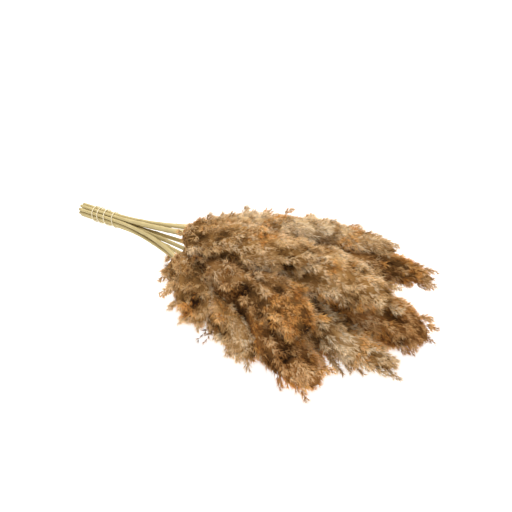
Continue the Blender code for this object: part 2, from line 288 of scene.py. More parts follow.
REEDS = [
    Reed(3, 0.20, (0.474, 0.105, 0.131), (0.80, 0.55, 0.12), 0.236, 0.047, 0.7, "pale", 0.68, 0.12),
    Reed(5, 0.16, (0.500, 0.018, 0.136), (0.90, 0.35, 0.00), 0.252, 0.055, 0.6, "tan", 0.59, 0.10),
    Reed(11, 0.20, (0.562, 0.132, 0.114), (0.95, 0.22, -0.05), 0.320, 0.052, 0.5, "beige", 0.66, 0.14),
    Reed(2, 0.16, (0.632, 0.134, 0.091), (0.97, 0.20, -0.05), 0.358, 0.062, 0.2, "brown", 0.55, 0.20),
    Reed(10, 0.16, (0.674, 0.060, 0.044), (0.95, 0.14, -0.20), 0.360, 0.076, 1.0, "rust", 0.52, 0.22),
    Reed(9, 0.18, (0.666, -0.014, 0.036), (0.95, 0.16, -0.15), 0.388, 0.065, 0.2, "pale", 0.60, 0.16),
    Reed(8, 0.30, (0.599, -0.114, 0.036), (0.95, -0.20, -0.12), 0.345, 0.063, 1.0, "rust", 0.53, 0.28),
    Reed(1, 0.16, (0.552, -0.084, 0.092), (0.88, -0.38, 0.00), 0.300, 0.070, 1.0, "brown", 0.56, 0.26),
    Reed(4, 0.20, (0.400, 0.042, 0.114), (0.90, 0.20, 0.20), 0.164, 0.038, 0.7, "rust", 0.54, 0.24),
    Reed(6, 0.38, (0.380, -0.124, 0.046), (0.60, -0.78, -0.12), 0.148, 0.052, 0.9, "tan", 0.57, 0.18),
    Reed(7, 0.22, (0.488, -0.128, 0.036), (0.80, -0.58, -0.08), 0.248, 0.057, 0.9, "beige", 0.57, 0.20),
    Reed(0, 0.16, (0.618, 0.040, 0.102), (0.97, 0.06, -0.10), 0.372, 0.082, 0.6, "tan", 0.59, 0.20),
]

# How full a plume is that its neighbours press flat, by the plume's number
FULLNESS = {1: 0.83, 3: 0.91, 9: 0.85}

# Patches of hair that differ from the rest of their plume: the place, measured from the floor under
# the cut ends, the radius, how much paler and how much warmer
Patch = namedtuple("Patch", "place radius paler warmer")

PATCHES = [
    Patch((0.415, -0.005, 0.150), 0.022, 0.02, 0.9),
    Patch((0.526, -0.097, 0.109), 0.026, 0.05, 0.5),
    Patch((0.536, -0.101, 0.083), 0.020, 0.08, 1.0),
    Patch((0.531, -0.012, 0.110), 0.026, 0.10, 0.5),
    Patch((0.357, -0.122, 0.063), 0.014, -0.20, 0.7),
    Patch((0.472, 0.072, 0.121), 0.024, 0.22, -0.4),
    Patch((0.520, 0.045, 0.133), 0.013, 0.35, -0.5),
    Patch((0.407, -0.078, 0.098), 0.011, 0.30, -0.5),
    Patch((0.465, -0.072, 0.119), 0.012, 0.30, -0.5),
    Patch((0.346, 0.043, 0.120), 0.024, 0.15, -0.4),
    Patch((0.595, -0.052, 0.054), 0.030, 0.06, -0.2),
    Patch((0.442, 0.063, 0.128), 0.034, 0.10, -0.3),
    Patch((0.455, -0.018, 0.143), 0.038, 0.10, -0.3),
    # Painted shade: a deep dark hole in the fluff
    Patch((0.466, -0.015, 0.116), 0.010, -0.80, 0.0),
    Patch((0.429, -0.078, 0.100), 0.013, -0.38, 0.0),
    Patch((0.552, -0.077, 0.081), 0.017, -0.40, 0.0),
    Patch((0.540, -0.123, 0.063), 0.016, -0.35, 0.0),
    Patch((0.587, 0.068, 0.121), 0.011, -0.40, 0.0),
    Patch((0.605, 0.037, 0.125), 0.010, -0.35, 0.0),
    Patch((0.525, 0.019, 0.134), 0.012, -0.22, 0.4),
    Patch((0.346, -0.036, 0.128), 0.010, -0.35, 0.0),
    Patch((0.363, -0.109, 0.071), 0.012, -0.35, 0.5),
    Patch((0.556, -0.001, 0.064), 0.024, -0.12, 0.45),
    Patch((0.520, -0.004, 0.084), 0.018, -0.10, 0.35),
]

# Loose sprays that stand off a plume: the plume's number, the spray's root and tip, how many
# spikelets it carries and how much paler they are
Spray = namedtuple("Spray", "plume root tip spikelets paler")

SPRAYS = [
    Spray(10, (0.307, -0.083, 0.068), (0.300, -0.125, 0.055), 14, 0.10),
    Spray(10, (0.310, -0.090, 0.066), (0.307, -0.122, 0.052), 10, 0.00),
    Spray(10, (0.392, -0.110, 0.030), (0.387, -0.137, 0.013), 6, -0.30),
    Spray(10, (0.398, -0.112, 0.028), (0.398, -0.133, 0.012), 5, -0.20),
    Spray(6, (0.543, -0.046, 0.030), (0.585, -0.066, 0.013), 34, -0.05),
    Spray(6, (0.552, -0.040, 0.036), (0.596, -0.058, 0.017), 34, 0.06),
    Spray(6, (0.550, -0.049, 0.034), (0.576, -0.063, 0.015), 34, 0.00),
    Spray(6, (0.560, -0.040, 0.030), (0.604, -0.054, 0.013), 34, -0.12),
    Spray(6, (0.566, -0.030, 0.036), (0.614, -0.048, 0.018), 34, 0.02),
    Spray(6, (0.590, -0.036, 0.030), (0.628, -0.036, 0.014), 30, -0.10),
    Spray(6, (0.640, -0.030, 0.032), (0.674, -0.015, 0.014), 9, -0.05),
    Spray(10, (0.372, -0.112, 0.048), (0.386, -0.134, 0.032), 12, 0.10),
]

# Colours from the darkest tone to the palest, in linear light
HAIR_COLOURS = {
    "pale": [(0.040, 0.013, 0.002), (0.50, 0.275, 0.095), (0.83, 0.610, 0.345), (0.98, 0.83, 0.60)],
    "beige": [(0.036, 0.012, 0.001), (0.47, 0.250, 0.080), (0.81, 0.570, 0.300), (0.98, 0.81, 0.56)],
    "tan": [(0.032, 0.010, 0.001), (0.44, 0.225, 0.066), (0.79, 0.530, 0.255), (0.98, 0.79, 0.53)],
    "brown": [(0.028, 0.009, 0.001), (0.38, 0.182, 0.052), (0.74, 0.470, 0.215), (0.96, 0.74, 0.47)],
    "rust": [(0.028, 0.009, 0.001), (0.41, 0.180, 0.048), (0.76, 0.455, 0.190), (0.96, 0.71, 0.42)],
}
WARM_COLOURS = [(0.040, 0.012, 0.001), (0.50, 0.205, 0.044), (0.83, 0.440, 0.130), (0.97, 0.68, 0.35)]
STRAW_COLOURS = [(0.40, 0.300, 0.122), (0.47, 0.37, 0.160), (0.54, 0.435, 0.205), (0.60, 0.505, 0.268)]
THREAD_COLOURS = [(0.70, 0.60, 0.38), (0.92, 0.84, 0.64)]

# A hair's shade and roughness from root to tip, and how far along it the shade is full. The darkening
# at the root is painted shade of the fluff's depths. The paleness at the tip is partly bleached hair
# and partly painted highlight.
ROOT_PAINTED_SHADE = 0.38
TIP_PALENESS_AND_HIGHLIGHT = 1.28
SHADE_FULL_AT = 0.8
ROOT_ROUGHNESS = 0.95
TIP_ROUGHNESS = 0.72
HAIR_SHINE = 0.1

# The sockets of a node that mixes two colours
MIX_FIRST = 6
MIX_SECOND = 7
MIX_RESULT = 2

# Straw: long fibres and blotches, mixed into its tone, with a fine bump. Thread: fine fibres.
FIBRE_STRETCH = (6.0, 40.0, 1.0)
FIBRE_DETAIL = 6.0
BLOTCH_SCALE = 45.0
BLOTCH_DETAIL = 3.0
FIBRE_TONE = 0.6
STRAW_TONE_DROP = 0.28
STRAW_BUMP = 0.35
STRAW_BUMP_DEPTH = 0.0003
STRAW_ROUGHNESS = (0.55, 0.80)
THREAD_SCALE = 1400.0
THREAD_DETAIL = 3.0
THREAD_BUMP = 0.5
THREAD_BUMP_DEPTH = 0.0001
THREAD_ROUGHNESS = 0.9

# The camera, the floor and the light
CAMERA_AZIMUTH = math.radians(39.0)
CAMERA_ELEVATION = math.radians(38.0)
CAMERA_DISTANCE = 1.93
CAMERA_LENS = 85.0
CAMERA_SENSOR = 36.0
LOOKED_AT = (0.3762, 0.0212, 0.0789)
FLOOR_SIZE = 8.0
FLOOR_DROP = 0.0003
FLOOR_COLOUR = (0.50, 0.50, 0.50, 1.0)
FLOOR_GLOW = 0.90
WHITE = (1.0, 1.0, 1.0, 1.0)
SKY_STRENGTH = 0.70
LIT_PLACE = (0.1, 0.0, 0.05)

Light = namedtuple("Light", "name place size power colour")

LIGHTS = [
    Light("key", (-0.6, 0.6, 1.9), 1.2, 42.0, (1.0, 0.98, 0.95)),
    Light("side", (1.2, -1.4, 1.3), 1.6, 9.0, (0.97, 0.98, 1.0)),
]


# Reed paths, as in the part's source

def unit(vector):
    vector = np.asarray(vector, float)
    return vector / np.linalg.norm(vector)


BUNDLE_AXIS = np.array([math.cos(BUNDLE_TILT), 0.0, math.sin(BUNDLE_TILT)])
BUNDLE_LEFT = np.array([0.0, 1.0, 0.0])
BUNDLE_UP = np.array([-math.sin(BUNDLE_TILT), 0.0, math.cos(BUNDLE_TILT)])
CUT_END_FOOT = np.array([CUT_END_X, CUT_END_Y, FLOOR_Z])
CUT_END = CUT_END_FOOT + np.array([0.0, 0.0, BUNDLE_RADIUS * math.cos(BUNDLE_TILT)])


def around_axis(angle, radius):
    return BUNDLE_LEFT * radius * math.cos(angle) + BUNDLE_UP * radius * math.sin(angle)


def slot_offset(slot):
    if slot < len(INNER_ANGLES):
        return around_axis(math.radians(INNER_ANGLES[slot]), INNER_RING)
    return around_axis(math.radians(OUTER_ANGLES[slot - len(INNER_ANGLES)]), OUTER_RING)


def reed_path(reed):
    cut = CUT_END + slot_offset(reed.slot)
    leave = cut + BUNDLE_AXIS * TIE_LENGTH
    tip = CUT_END_FOOT + np.array(reed.tip)
    reach = np.linalg.norm(tip - leave)
    pull_out = leave + BUNDLE_AXIS * reed.lead * reach
    pull_in = tip - unit(reed.heading) * ARRIVING_PULL * reach
    t = np.linspace(0.0, 1.0, PATH_STEPS)[:, None]
    curve = (1 - t) ** 3 * leave + 3 * (1 - t) ** 2 * t * pull_out
    curve = curve + 3 * (1 - t) * t ** 2 * pull_in + t ** 3 * tip
    return np.vstack([cut, curve])


class Path:
    """A polyline that can be read at any distance from its cut end."""

    def __init__(self, points):
        self.points = points
        steps = np.linalg.norm(np.diff(points, axis=0), axis=1)
        self.along = np.concatenate([[0.0], np.cumsum(steps)])
        self.length = self.along[-1]

    def at(self, distance):
        return np.stack([np.interp(distance, self.along, self.points[:, k]) for k in range(3)], -1)

    def heading(self, distance):
        middle = min(distance, self.length - READ_STEP)
        return unit(self.at(middle + READ_STEP) - self.at(middle - READ_STEP))

    def stretch(self, start, end):
        count = max(2, int((end - start) / READ_STEP) + 1)
        return self.at(np.linspace(start, end, count))


def envelope(share, blunt, widens_over=WIDENS_OVER):
    """How far the branches reach from the reed, from the plume's base (0) to its tip (1)."""
    rise = min(1.0, math.sqrt(max(share, 0.0) / widens_over))
    loss = POINTED_LOSS + (BLUNT_LOSS - POINTED_LOSS) * blunt
    power = POINTED_POWER + (BLUNT_POWER - POINTED_POWER) * blunt
    towards_tip = max(0.0, (share - NARROWS_FROM) / (1.0 - NARROWS_FROM))
    return rise * (1.0 - loss * towards_tip ** power)


class Field:
    """The places of all the reeds, so that each plume keeps to the space nearest its own reed."""

    def __init__(self, paths):
        self.plumes = []
        self.stems = []
        for path, reed in zip(paths, REEDS):
            base = path.length - reed.length
            self.plumes.append(path.stretch(base, path.length))
            self.stems.append(path.stretch(0.0, base))

    def nearest_other(self, index, point):
        return min(nearest(plume, point)[0] for k, plume in enumerate(self.plumes) if k != index)

    def nearest_stem(self, point, leave_out=None):
        return min(nearest(stem, point)[0] for k, stem in enumerate(self.stems) if k != leave_out)

    def has_room(self, index, point, radius):
        own_distance, own_point = nearest(self.plumes[index], point)
        for k, plume in enumerate(self.plumes):
            if k == index:
                continue
            distance, other_point = nearest(plume, point)
            apart = np.linalg.norm(other_point - own_point)
            to_midplane = (distance ** 2 - own_distance ** 2) / (2.0 * apart)
            if to_midplane < radius + 0.5 * CLEARANCE:
                return False
        return self.nearest_stem(point) > THICKEST_STEM + radius + CLEARANCE


def nearest(points, point):
    distances = np.linalg.norm(points - point, axis=1)
    first = int(distances.argmin())
    return distances[first], points[first]


def cross_axes(heading):
    left = unit(np.cross((0.0, 0.0, 1.0), heading))
    return left, np.cross(heading, left)


def sideways(heading, angle):
    """The direction square to a heading, at an angle round it."""
    left, up = cross_axes(heading)
    return left * math.cos(angle) + up * math.sin(angle)


def core_radius(index, path, reed, field, station):
    share = (station - path.length + reed.length) / reed.length
    point = path.at(station)
    wanted = CORE_SHARE * reed.spread * envelope(share, reed.blunt)
    room = CORE_CELL_SHARE * field.nearest_other(index, point)
    stem_room = field.nearest_stem(point, leave_out=index) - THICKEST_STEM - CLEARANCE
    return max(CORE_TIP_RADIUS, min(wanted, room, stem_room))


def branch_spine(path, reed, radius_at, share, angle, push, squeeze):
    """A branch's root, middle and tip. It leaves the reed outwards and bends towards the tip."""
    base = path.length - reed.length
    station = base + share * reed.length
    heading = path.heading(station)
    outward = sideways(heading, angle)
    advance = TUFT_ADVANCE * push + SQUEEZED_ADVANCE * (1.0 - squeeze)
    end_share = share + advance - BASE_SWEEP * squeeze * (1.0 - share) ** SWEEP_POWER
    reach = reed.spread * push * squeeze * envelope(np.clip(end_share, SHORTEST_AT, 1.0), reed.blunt)
    beyond = max(0.0, end_share - 1.0) * reed.length
    root = path.at(station) + outward * ROOT_IN_CORE * radius_at(station)
    end = path.at(min(base + end_share * reed.length, path.length)) + heading * beyond
    droop = TUFT_DROOP + TOP_DROOP * max(0.0, outward[2])
    tip = end + outward * reach + np.array([0.0, 0.0, -droop * reach])
    middle = root + MIDDLE_SHARE * (tip - root) + outward * MIDDLE_BULGE * reach
    return [root, middle, tip]


def spine_samples(spine, middle_radius):
    """Places along a branch, with its radius there."""
    samples = []
    for share in ROOT_CHECKS:
        samples.append((spine[0] + share * (spine[1] - spine[0]), middle_radius * share))
    for share in TIP_CHECKS:
        samples.append((spine[1] + share * (spine[2] - spine[1]), middle_radius * (1.0 - share)))
    return samples


def lifted(point, least):
    return np.array([point[0], point[1], max(point[2], FLOOR_Z + least)])


def fitted_branch(index, field, path, radius_at, share, angle, push, width):
    """Squeeze a branch towards its own reed until it stays in its own plume's space."""
    reed = REEDS[index]
    for squeeze in SQUEEZES:
        spine = branch_spine(path, reed, radius_at, share, angle, push, squeeze)
        middle_radius = width * (SQUEEZED_WIDTH + OPEN_WIDTH * squeeze)
        pressed = [lifted(spine[0], CLEARANCE), lifted(spine[1], MIDDLE_HEIGHT * middle_radius),
                   lifted(spine[2], CLEARANCE)]
        if all(field.has_room(index, place, radius)
               for place, radius in spine_samples(pressed, middle_radius)):
            return pressed
    return None


def plume_branches(index, paths, field):
    """The branches of a plume: the tufts of the part's source, then thinner ones between them."""
    path = paths[index]
    reed = REEDS[index]
    base = path.length - reed.length
    stations = np.linspace(base, path.length, CORE_STATIONS)
    radii = [core_radius(index, path, reed, field, station) for station in stations]

    def radius_at(station):
        return float(np.interp(station, stations, radii))

    fullness = FULLNESS.get(index + 1, 1.0)
    draw = random.Random(SEED + index + 1)
    count = TUFTS_AT_LEAST + round(TUFTS_A_SQUARE_METRE * reed.length * reed.spread)
    branches = []
    for step in range(count):
        along = ((step + 0.5) / count) ** TIPWARD_POWER
        share = FIRST_TUFT + (LAST_TUFT - FIRST_TUFT) * along
        angle = step * GOLDEN_ANGLE + draw.uniform(-TUFT_TURN, TUFT_TURN)
        push = draw.uniform(*TUFT_PUSHES) * fullness
        width = TUFT_WIDTH_SHARE * reed.spread * draw.uniform(*TUFT_WIDTHS)
        # The source draws the tuft's roll here
        draw.uniform(0.0, math.tau)
        spine = fitted_branch(index, field, path, radius_at, share, angle, push, width)
        if spine is not None:
            branches.append((spine, MAIN_SPIKELETS))
    fill_count = round(FILL_BRANCHES * count)
    for step in range(fill_count):
        share = FIRST_TUFT + (LAST_TUFT - FIRST_TUFT) * (step + 0.5) / fill_count
        angle = (step + 0.5) * GOLDEN_ANGLE + math.pi + draw.uniform(-TUFT_TURN, TUFT_TURN)
        push = draw.uniform(*FILL_PUSHES) * fullness
        width = TUFT_WIDTH_SHARE * reed.spread * FILL_WIDTH
        spine = fitted_branch(index, field, path, radius_at, share, angle, push, width)
        if spine is not None:
            branches.append((spine, FILL_SPIKELETS))
    return branches


# Spikelets

def needle(shape, uv_layer, length, width, tone, place):
    """A closed three-sided needle along +Z, put in place by a matrix, with its map filled in."""
    made = bmesh.ops.create_cone(shape, cap_ends=True, segments=3, depth=length,
                                 radius1=0.5 * width, radius2=0.0,
                                 matrix=Matrix.Translation((0.0, 0.0, 0.5 * length)))
    bmesh.ops.remove_doubles(shape, verts=made["verts"], dist=NEEDLE_WELD)
    verts = [vertex for vertex in made["verts"] if vertex.is_valid]
    for face in {face for vertex in verts for face in vertex.link_faces}:
        corners = sorted(face.loops, key=lambda loop: loop.vert.co.z)
        is_cap = corners[-1].vert.co.z < 0.5 * length
        for side, loop in zip((-1.0, 1.0, 0.0), corners):
            rise = CAP_RISE if is_cap and side == 0.0 else 0.0
            loop[uv_layer].uv = (tone + side * TONE_WIDTH, loop.vert.co.z / length + rise)
    bmesh.ops.transform(shape, matrix=place, verts=verts)


def as_mesh(shape, name):
    mesh = bpy.data.meshes.new(name)
    shape.to_mesh(mesh)
    shape.free()
    return mesh


def take_in(shape, mesh):
    """Add a mesh to a shape and clear it away."""
    shape.from_mesh(mesh)
    bpy.data.meshes.remove(mesh)


def outward_mesh(shape, name):
    """The shape as a mesh whose faces point outwards."""
    if shape.calc_volume(signed=True) < 0.0:
        bmesh.ops.reverse_faces(shape, faces=shape.faces)
    return as_mesh(shape, name)


def spikelet(number):
    """One spikelet along +Z: a dark blade of chaff and a fan of silky hairs."""
    draw = random.Random(SPIKELET_SEED + number)
    shape = bmesh.new()
    uv_layer = shape.loops.layers.uv.new(MAP_NAME)
    lean = Matrix.Rotation(math.radians(draw.uniform(*CHAFF_LEANS)), 4, "X")
    needle(shape, uv_layer, CHAFF_LENGTH * draw.uniform(*CHAFF_LENGTHS), CHAFF_WIDTH, CHAFF_TONE, lean)
    for hair in range(HAIRS):
        lean = Matrix.Rotation(math.radians(draw.uniform(*HAIR_LEANS)), 4, "X")
        turn = Matrix.Rotation(hair * GOLDEN_ANGLE + draw.uniform(-HAIR_TURN, HAIR_TURN), 4, "Z")
        root = Matrix.Translation((0.0, 0.0, draw.uniform(*HAIR_ROOTS)))
        length = HAIR_LENGTH * draw.uniform(*HAIR_LENGTHS)
        needle(shape, uv_layer, length, HAIR_WIDTH, draw.uniform(*HAIR_TONES), root @ turn @ lean)
    return outward_mesh(shape, f"spikelet_{number}")


def awn():
    """One long thin bristle along +Z."""
    shape = bmesh.new()
    uv_layer = shape.loops.layers.uv.new(MAP_NAME)
    needle(shape, uv_layer, AWN_LENGTH, HAIR_WIDTH, 0.0, Matrix.Identity(4))
    return outward_mesh(shape, "awn")


def turned_to(direction, roll):
    """A turn that brings +Z to a direction, after a roll about +Z."""
    turn = Vector(direction).to_track_quat("Z", "Y").to_matrix().to_4x4()
    return turn @ Matrix.Rotation(roll, 4, "Z")


def bent(spine, share):
    """A point and heading on the smooth curve through a branch's root, middle and tip."""
    root, middle, tip = spine
    pull = 2.0 * middle - 0.5 * (root + tip)
    point = (1 - share) ** 2 * root + 2 * (1 - share) * share * pull + share ** 2 * tip
    heading = 2 * (1 - share) * (pull - root) + 2 * share * (tip - pull)
    return point, unit(heading)


def uneven(waves, point, number):
    """Soft unevenness at a place, different for each plume."""
    return waves.strength * noise.noise(Vector(point) * waves.scale
                                        + Vector((number * waves.shift, 0.0, 0.0)))


def clumps(along, across, number):
    """The relief: high where a clump of hair stands, low in the hollows between. First the broad
    relief the body follows, then with the finer clumps only the hair shows."""
    point = across + BUNDLE_AXIS * (CLUMP_STRETCH * along)
    broad = uneven(BROAD_CLUMPS, point, number)
    return broad, broad + uneven(FINE_CLUMPS, point, number)


PATCH_PLACES = CUT_END_FOOT + np.array([patch.place for patch in PATCHES])
PATCH_SIZES = np.array([patch.radius for patch in PATCHES])
PATCH_PALER = np.array([patch.paler for patch in PATCHES])
PATCH_WARMER = np.array([patch.warmer for patch in PATCHES])


def patched(point):
    """How much paler and how much warmer the hair is at a place."""
    far = np.linalg.norm(PATCH_PLACES - point, axis=1) / PATCH_SIZES
    share = np.clip(PATCH_FULL - PATCH_FALL * far + uneven(PATCH_EDGE, point, 1), 0.0, 1.0)
    return float(share @ PATCH_PALER), float(share @ PATCH_WARMER)


def sagged(out):
    """A body lies flatter on top than at its sides."""
    return 1.0 - BODY_SAG * max(0.0, out[2])


def band(tone, along, warm):
    """A place in the map for a tone and a distance along the hair."""
    low, high = ACCENT_BAND if warm else OWN_BAND
    return (min(1.0, max(0.0, tone)), low + (high - low) * min(1.0, max(0.0, along)))


def tone_map(mesh, tones):
    """Shift each spikelet's map to its own tone, and into the own or the warm band."""
    layer = mesh.uv_layers[MAP_NAME]
    values = np.zeros(len(layer.data) * 2, np.float32)
    layer.data.foreach_get("uv", values)
    values = values.reshape(len(tones), -1, 2)
    for spikelet_map, (tone, warm) in zip(values, tones):
        low, high = ACCENT_BAND if warm else OWN_BAND
        spikelet_map[:, 0] = np.clip(spikelet_map[:, 0] + tone, 0.0, 1.0)
        spikelet_map[:, 1] = low + (high - low) * np.clip(spikelet_map[:, 1], 0.0, 1.0)
    layer.data.foreach_set("uv", values.ravel())


# Bodies and stalks

def tube(centres, headings, sides, radius_of, tone_of):
    """A closed tube swept from a disc, as a mesh with its tones in the map."""
    shape = bmesh.new()
    uv_layer = shape.loops.layers.uv.new(MAP_NAME)
    verts = bmesh.ops.create_circle(shape, cap_ends=True, segments=sides, radius=1.0)["verts"]
    face = verts[0].link_faces[0]
    first = face
    rings = [list(face.verts)]
    for _ in centres[1:]:
        made = bmesh.ops.extrude_discrete_faces(shape, faces=[face])
        face = made["faces"][0]
        rings.append(list(face.verts))
    place_of = {}
    for number, (ring, centre, heading) in enumerate(zip(rings, centres, headings)):
        for step, vertex in enumerate(ring):
            out = sideways(heading, math.tau * step / sides)
            radius, relief = radius_of(number, step, out)
            vertex.co = lifted(centre + out * radius, CLEARANCE)
            place_of[vertex] = (number, step, relief)
    # The first disc is used up by its extrusion, so the tube's start is closed again
    if not first.is_valid or len(rings[0][0].link_faces) < 3:
        bmesh.ops.contextual_create(shape, geom=rings[0])
    bmesh.ops.recalc_face_normals(shape, faces=shape.faces)
    for face in shape.faces:
        for loop in face.loops:
            number, step, relief = place_of[loop.vert]
            tone, along, warm = tone_of(number, relief, loop.vert.co)
            side = TONE_WIDTH if step % 2 else -TONE_WIDTH
            loop[uv_layer].uv = band(tone + side, along, warm)
        face.smooth = True
    return as_mesh(shape, "tube")


def body_rings(index, path):
    """The middle, heading and greatest radius of a plume's woolly body, ring by ring."""
    reed = REEDS[index]
    base = path.length - reed.length
    stations = np.linspace(base + BODY_START, path.length + END_BEYOND, BODY_RINGS)
    centres = [path.at(min(station, path.length)) for station in stations]
    headings = [path.heading(station) for station in stations]
    centres[-1] = centres[-1] + END_BEYOND * headings[-1]
    widths = []
    for station in stations:
        share = (station - base) / reed.length
        width = BODY_SHARE * reed.spread * envelope(share, reed.blunt, BODY_WIDENS_OVER)
        width *= FULLNESS.get(index + 1, 1.0)
        towards_end = max(0.0, (station - base - ROUND_FROM * reed.length)
                          / ((1.0 - ROUND_FROM) * reed.length + END_BEYOND))
        widths.append(max(LEAST_BODY, width * math.sqrt(max(0.0, 1.0 - towards_end ** 2))))
    return np.array(centres), headings, np.array(widths)


def body_walls(index, bodies):
    """How far the body reaches each way before it meets the body of the plume beside it."""
    centres, headings, widths = bodies[index]
    others = np.vstack([body[0] for k, body in enumerate(bodies) if k != index])
    sizes = np.concatenate([body[2] for k, body in enumerate(bodies) if k != index])
    shares = np.linspace(1.0 / WALL_STEPS, 1.0, WALL_STEPS)
    angles = np.arange(BODY_SIDES) * math.tau / BODY_SIDES
    reaches = []
    for centre, heading, width in zip(centres, headings, widths):
        left, up = cross_axes(heading)
        out = left * np.cos(angles)[:, None] + up * np.sin(angles)[:, None]
        places = centre + out[:, None, :] * (width * shares)[None, :, None]
        to_own = np.linalg.norm(places[:, :, None] - centres, axis=-1).min(-1)
        to_others = np.linalg.norm(places[:, :, None] - others, axis=-1)
        taken = (to_others.min(-1) < to_own) & (to_others < sizes).any(-1)
        free = np.cumprod(~taken, axis=1).sum(1) / WALL_STEPS
        reaches.append(np.maximum(free * width + WALL_OVERLAP * (free < 1.0), LEAST_BODY))
    reaches = np.array(reaches)
    smooth = (np.roll(reaches, 1, axis=1) + 2.0 * reaches + np.roll(reaches, -1, axis=1)) / 4.0
    return np.minimum(smooth, widths[:, None])


def reach_at(walls, ring, angle):
    """The body's reach between its rings and sides."""
    side = angle / math.tau * BODY_SIDES
    first = min(int(ring), len(walls) - 2)
    step = int(math.floor(side))
    part = side - step
    near, far = step % BODY_SIDES, (step + 1) % BODY_SIDES
    low = walls[first][near] * (1.0 - part) + walls[first][far] * part
    high = walls[first + 1][near] * (1.0 - part) + walls[first + 1][far] * part
    return low + (high - low) * (ring - first)


def add_body(whole, number, reed, centres, headings, walls):
    """The woolly body round the reed, darker than the hair on it as painted shade of the fluff's
    depths, with painted light making it darker in its hollows and paler on its clumps.
    """

    def radius_of(ring, step, out):
        broad, _ = clumps(reed.length * ring / (BODY_RINGS - 1), out * walls[ring][step], number)
        return walls[ring][step] * (sagged(out) + BODY_RELIEF * broad - BODY_DEPTH), broad

    def tone_of(ring, relief, point):
        # Painted shade: the body is darker than its hair, and darker in its hollows, paler on its
        # clumps
        tone = reed.tone + BODY_PAINTED_SHADE + BODY_RELIEF_PAINTED_LIGHT * relief + patched(point)[0]
        return tone, BODY_SHADE + BODY_SHADE_RELIEF * relief, False

    take_in(whole, tube(centres, headings, BODY_SIDES, radius_of, tone_of))


def add_stalk(whole, spine, reed):
    """A branch's thin stalk, tapering to its tip."""
    places = [bent(spine, along) for along in np.linspace(0.0, STALK_TO, STALK_RINGS)]

    def radius_of(ring, step, out):
        return STALK_RADIUS * (1.0 - STALK_TAPER * ring / (STALK_RINGS - 1)), 0.0

    def tone_of(ring, relief, point):
        return reed.tone + STALK_TONE, STALK_SHADE + STALK_SHADE_STEP * ring, False

    centres, headings = zip(*places)
    take_in(whole, tube(centres, headings, STALK_SIDES, radius_of, tone_of))


def add_awns(whole, path, reed, bristle, draw):
    """A few long bristles round the plume's tip."""
    tip = path.at(path.length)
    heading = path.heading(path.length)
    for step in range(AWNS):
        angle = step * GOLDEN_ANGLE
        direction = unit(heading + sideways(heading, angle) * draw.uniform(*AWN_SPREADS))
        root = Matrix.Translation(Vector(tip - heading * AWN_ROOT))
        copy = bristle.copy()
        copy.transform(root @ turned_to(direction, angle))
        tone_map(copy, [(reed.tone + AWN_TONE, False)])
        take_in(whole, copy)


# Plumes

